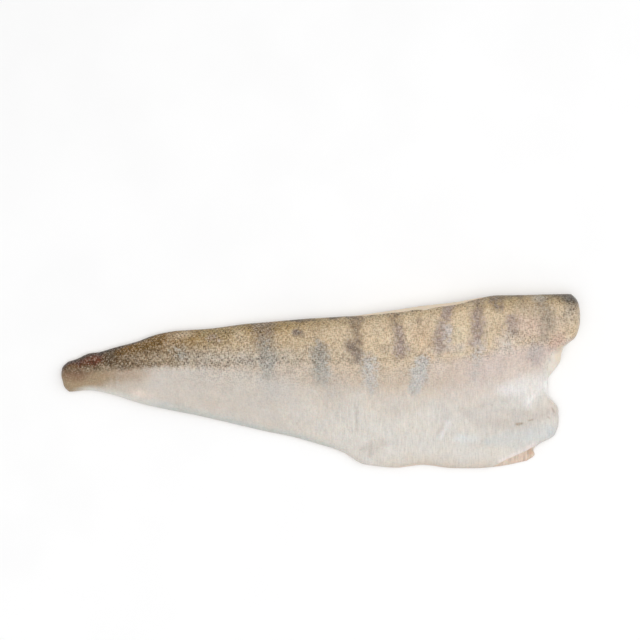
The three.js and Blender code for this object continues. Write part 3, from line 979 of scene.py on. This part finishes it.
class Material:
    """A node material, with a short call for each kind of node that it uses."""

    def __init__(self, name):
        self.made = bpy.data.materials.new(name)
        self.made.use_nodes = True
        self.tree = self.made.node_tree
        self.shader = self.tree.nodes["Principled BSDF"]
        self.place = self.node("TexCoord").outputs["Object"]

    def node(self, kind, inputs=(), **settings):
        made = self.tree.nodes.new("ShaderNode" + kind)
        for name, value in settings.items():
            setattr(made, name, value)
        for key, value in dict(inputs).items():
            self.put(value, made.inputs[key])
        return made

    def put(self, value, socket):
        if isinstance(value, bpy.types.NodeSocket):
            self.tree.links.new(value, socket)
        else:
            socket.default_value = value

    def set(self, **inputs):
        """Sets the shader's inputs, such as Base_Color, to a value or a socket."""
        for name, value in inputs.items():
            self.put(value, self.shader.inputs[name.replace("_", " ")])

    def value(self, name):
        return self.node("Attribute", attribute_name=name).outputs["Fac"]

    def colour(self, name):
        return self.node("Attribute", attribute_name=name).outputs["Color"]

    def math(self, operation, *values):
        """One operation over two or more values, from left to right."""
        total = values[0]
        for value in values[1:]:
            total = self.node("Math", {0: total, 1: value}, operation=operation).outputs[0]
        return total

    def plus(self, *values):
        return self.math("ADD", *values)

    def times(self, *values):
        return self.math("MULTIPLY", *values)

    def ramp(self, value, start, end, bottom=0.0, top=1.0):
        inputs = {"Value": value, "From Min": start, "From Max": end, "To Min": bottom, "To Max": top}
        return self.node("MapRange", inputs, interpolation_type="SMOOTHSTEP").outputs["Result"]

    def noise(self, size, detail=2.0, stretch=(1, 1, 1)):
        """Noise from 0 to 1 with bumps of about that size, stretched along the axes."""
        scale = self.node("Mapping", {"Vector": self.place, "Scale": [1 / s for s in stretch]})
        inputs = {"Vector": scale.outputs[0], "Scale": 1 / size, "Detail": detail}
        return self.node("TexNoise", inputs).outputs["Fac"]

    def around(self, value, amount):
        """A value from 0 to 1, made to vary around 0 by half that amount."""
        return self.times(self.math("SUBTRACT", value, 0.5), amount)

    def lit(self, colour, *shares):
        """A colour made brighter or darker by the sum of some shares."""
        inputs = {"Value": self.plus(1.0, *shares), "Color": colour}
        return self.node("HueSaturation", inputs).outputs["Color"]

    def mix(self, share, first, second):
        node = self.node("Mix", data_type="RGBA")
        for key, value in (("Factor_Float", share), ("A_Color", first), ("B_Color", second)):
            socket = next(s for s in node.inputs if s.identifier == key)
            self.put(value if isinstance(value, bpy.types.NodeSocket) else (*value, 1), socket)
        return next(s for s in node.outputs if s.identifier == "Result_Color")

    def bump(self, height, depth, after=None):
        inputs = {"Height": height, "Distance": depth, "Strength": 1.0}
        if after is not None:
            inputs["Normal"] = after
        return self.node("Bump", inputs).outputs["Normal"]


def skin_material():
    """Thin skin with the pockets of its scales: dark specks between them, each scale of its own tone."""
    skin = Material("skin")
    tint, bar_tint = skin.colour("tint"), skin.colour("bar_tint")
    barred, specks, scales_show, frosted, grains_show = (
        skin.value(name) for name in ("barred", "specks", "scaled", "frost", "grainy")
    )

    # Places in the pattern of scales, pushed about a little so that no two scales are alike.
    pattern = skin.node("SeparateXYZ", {0: skin.node("UVMap", uv_map="scales").outputs["UV"]})
    along = skin.plus(pattern.outputs["X"], skin.around(skin.noise(3 * MM, 3), 1.3))
    up = skin.plus(pattern.outputs["Y"], skin.around(skin.noise(3.4 * MM, 3), 0.8))
    first, second = skin.plus(along, up), skin.math("SUBTRACT", along, up)
    off_first, off_second = skin.math("PINGPONG", first, 0.5), skin.math("PINGPONG", second, 0.5)
    edge = skin.math("MINIMUM", off_first, off_second)
    corner = skin.node("CombineXYZ", {0: off_first, 1: off_second})
    off_corner = skin.node("VectorMath", {0: corner.outputs[0]}, operation="LENGTH").outputs["Value"]

    def chance(rounding):
        """A chance value for each scale, or with ROUND for each place where four scales meet."""
        cell = {i: skin.math(rounding, way, 1.0) for i, way in enumerate((first, second))}
        cell = skin.node("CombineXYZ", cell).outputs[0]
        return skin.node("TexWhiteNoise", {"Vector": cell}, noise_dimensions="2D").outputs["Value"]

    # Woven grain: fine noise drawn out across the body and along it.
    across_body, along_body = (skin.noise(GRAIN_SIZE, 1, stretch) for stretch in ((1, 3.5, 1), (3.5, 1, 1)))
    grain = skin.ramp(skin.plus(across_body, along_body), 0.7, 1.3)

    # The bars are made of many small blotches, thick in the middle and thin at the edges.
    blotches = skin.plus(
        skin.around(skin.noise(2.5 * MM, 4), 1.4), skin.around(grain, 0.5), skin.around(chance("FLOOR"), 0.3)
    )
    barred = skin.plus(skin.times(barred, 1.1), skin.times(blotches, skin.ramp(barred, 0.0, 0.5)))
    tint = skin.mix(skin.ramp(barred, 0.05, 1.05), tint, bar_tint)

    # Each scale has its own tone, with finer mottling within it and faint streaks across the body.
    streaks = skin.noise(0.8 * MM, 2, stretch=(1, 7, 7))
    place_x = skin.node("SeparateXYZ", {0: skin.place}).outputs["X"]
    colour = skin.lit(
        tint,
        skin.times(skin.around(chance("FLOOR"), 0.08), scales_show),
        skin.times(skin.around(skin.noise(0.9 * MM, 3), 1.0), skin.plus(skin.times(specks, 0.5), 0.12)),
        skin.times(skin.around(streaks, 0.42), skin.ramp(place_x, -40 * MM, 30 * MM, 0.35, 1.0)),
        skin.times(skin.ramp(grain, 0.6, 0.05), grains_show, -0.6),
    )

    # Dark specks of pigment where four scales meet, some strong and some missing, and others strewn between.
    strong = skin.ramp(skin.math("SUBTRACT", skin.times(specks, 1.2), chance("ROUND")), -0.2, 0.7)
    dot = skin.times(skin.ramp(off_corner, 0.36, 0.12), strong)
    strewn = skin.times(skin.ramp(skin.noise(GRAIN_SIZE, 1), 0.56, 0.7), specks, 0.75)
    gap = skin.times(skin.ramp(edge, 0.14, 0.02), specks, 0.3)
    dark_grain = skin.times(skin.ramp(grain, 0.3, 0.06), specks, 0.6)
    dark = skin.math("MAXIMUM", dot, strewn, gap, dark_grain)
    colour = skin.mix(skin.times(dark, 0.8), colour, SPECK)

    # Painted highlights: pale glints on some scales, and pale grains of the skin's weave in the same colour.
    glint = skin.times(skin.ramp(chance("FLOOR"), 0.45, 0.9), skin.ramp(edge, 0.2, 0.42))
    glint = skin.times(glint, skin.plus(specks, frosted), 0.3)
    pale_grain = skin.times(skin.ramp(grain, 0.6, 1.0), grains_show, 0.38)
    colour = skin.mix(skin.math("MAXIMUM", glint, pale_grain), colour, GLINT)

    # Frost: fine white grains.
    grains = skin.times(skin.ramp(skin.noise(0.8 * MM, 2), 0.45, 0.75, 0.15, 0.6), frosted)
    colour = skin.mix(skin.times(grains, 0.6), colour, FROST_AND_HIGHLIGHT_WHITE)

    normal = skin.bump(skin.times(skin.ramp(edge, 0.0, 0.3), scales_show), 0.08 * MM)
    normal = skin.bump(skin.noise(0.7 * MM, 3), 0.12 * MM, normal)
    roughness = skin.ramp(skin.noise(5 * MM, 3), 0.3, 0.7, 0.36, 0.52)
    roughness = skin.plus(roughness, skin.times(frosted, 0.2))
    skin.set(Base_Color=colour, Roughness=roughness, Normal=normal)
    skin.set(Specular_IOR_Level=0.3, Subsurface_Weight=0.08, Subsurface_Scale=2 * MM)
    return skin.made


def flesh_material():
    """Pale, slightly translucent muscle with a fine grain, striped on the bare corner."""
    flesh = Material("flesh")
    stripes = flesh.ramp(flesh.noise(1.3 * MM, 1, stretch=(1, 5, 5)), 0.3, 0.7)
    colour = flesh.lit(
        flesh.colour("tint"),
        flesh.around(flesh.noise(2.2 * MM, 4), 0.16),
        flesh.around(flesh.noise(0.8 * MM, 2), 0.16),
        flesh.times(flesh.around(stripes, 0.3), flesh.value("corner")),
    )
    normal = flesh.bump(flesh.noise(0.8 * MM, 3, stretch=(4, 1, 1)), 0.15 * MM)
    roughness = flesh.ramp(flesh.noise(4 * MM, 3), 0.3, 0.7, 0.38, 0.55)
    flesh.set(Base_Color=colour, Roughness=roughness, Normal=normal)
    flesh.set(Specular_IOR_Level=0.4, Subsurface_Weight=0.2, Subsurface_Scale=3 * MM)
    return flesh.made


# ---- Stage ----

IMAGE = 640  # pixels, wide and high
PIXEL = 0.606 * MM  # of the object, at the surface that it lies on
VIEW_CENTRE = Vector((-0.2 * MM, 37.1 * MM, 0))
ELEVATION = math.radians(86)
LENS = 100
SENSOR = 36
FLOOR_SIZE = 6
SKYLIGHT = 0.66
LIGHTS = [("key", (-0.05, -0.32, 1.3), 1.2, 6.5), ("fill", (0.8, 0.3, 1.2), 1.4, 4.5)]


def make_floor():
    bpy.ops.mesh.primitive_plane_add(size=FLOOR_SIZE)
    floor = bpy.context.object
    floor.name = "floor"
    paper = Material("paper")
    tone = paper.ramp(paper.noise(60 * MM, 2), 0.3, 0.7, 0.93, 0.95)
    paper.set(Base_Color=paper.node("CombineColor", {0: tone, 1: tone, 2: tone}).outputs[0], Roughness=0.9)
    floor.data.materials.append(paper.made)


def make_light(name, place, size, power):
    data = bpy.data.lights.new(name, "AREA")
    data.shape = "SQUARE"
    data.size = size
    data.energy = power
    light = added(name, data)
    light.location = place
    light.rotation_euler = (-Vector(place)).to_track_quat("-Z", "Y").to_euler()


def make_camera():
    data = bpy.data.cameras.new("camera")
    data.lens = LENS
    data.sensor_width = SENSOR
    camera = added("camera", data)
    towards = Vector((0, -math.cos(ELEVATION), math.sin(ELEVATION)))
    camera.location = VIEW_CENTRE + towards * (IMAGE * PIXEL * LENS / SENSOR)
    camera.rotation_euler = (-towards).to_track_quat("-Z", "Y").to_euler()
    bpy.context.scene.camera = camera


def make_world():
    world = bpy.data.worlds.new("studio")
    world.use_nodes = True
    background = world.node_tree.nodes["Background"]
    background.inputs["Color"].default_value = (1, 1, 1, 1)
    background.inputs["Strength"].default_value = SKYLIGHT
    bpy.context.scene.world = world


make_camera()
make_world()
for light in LIGHTS:
    make_light(*light)
make_floor()
bpy.context.scene.view_settings.view_transform = "Standard"

make_flesh(flesh_material())
make_skin(skin_material())
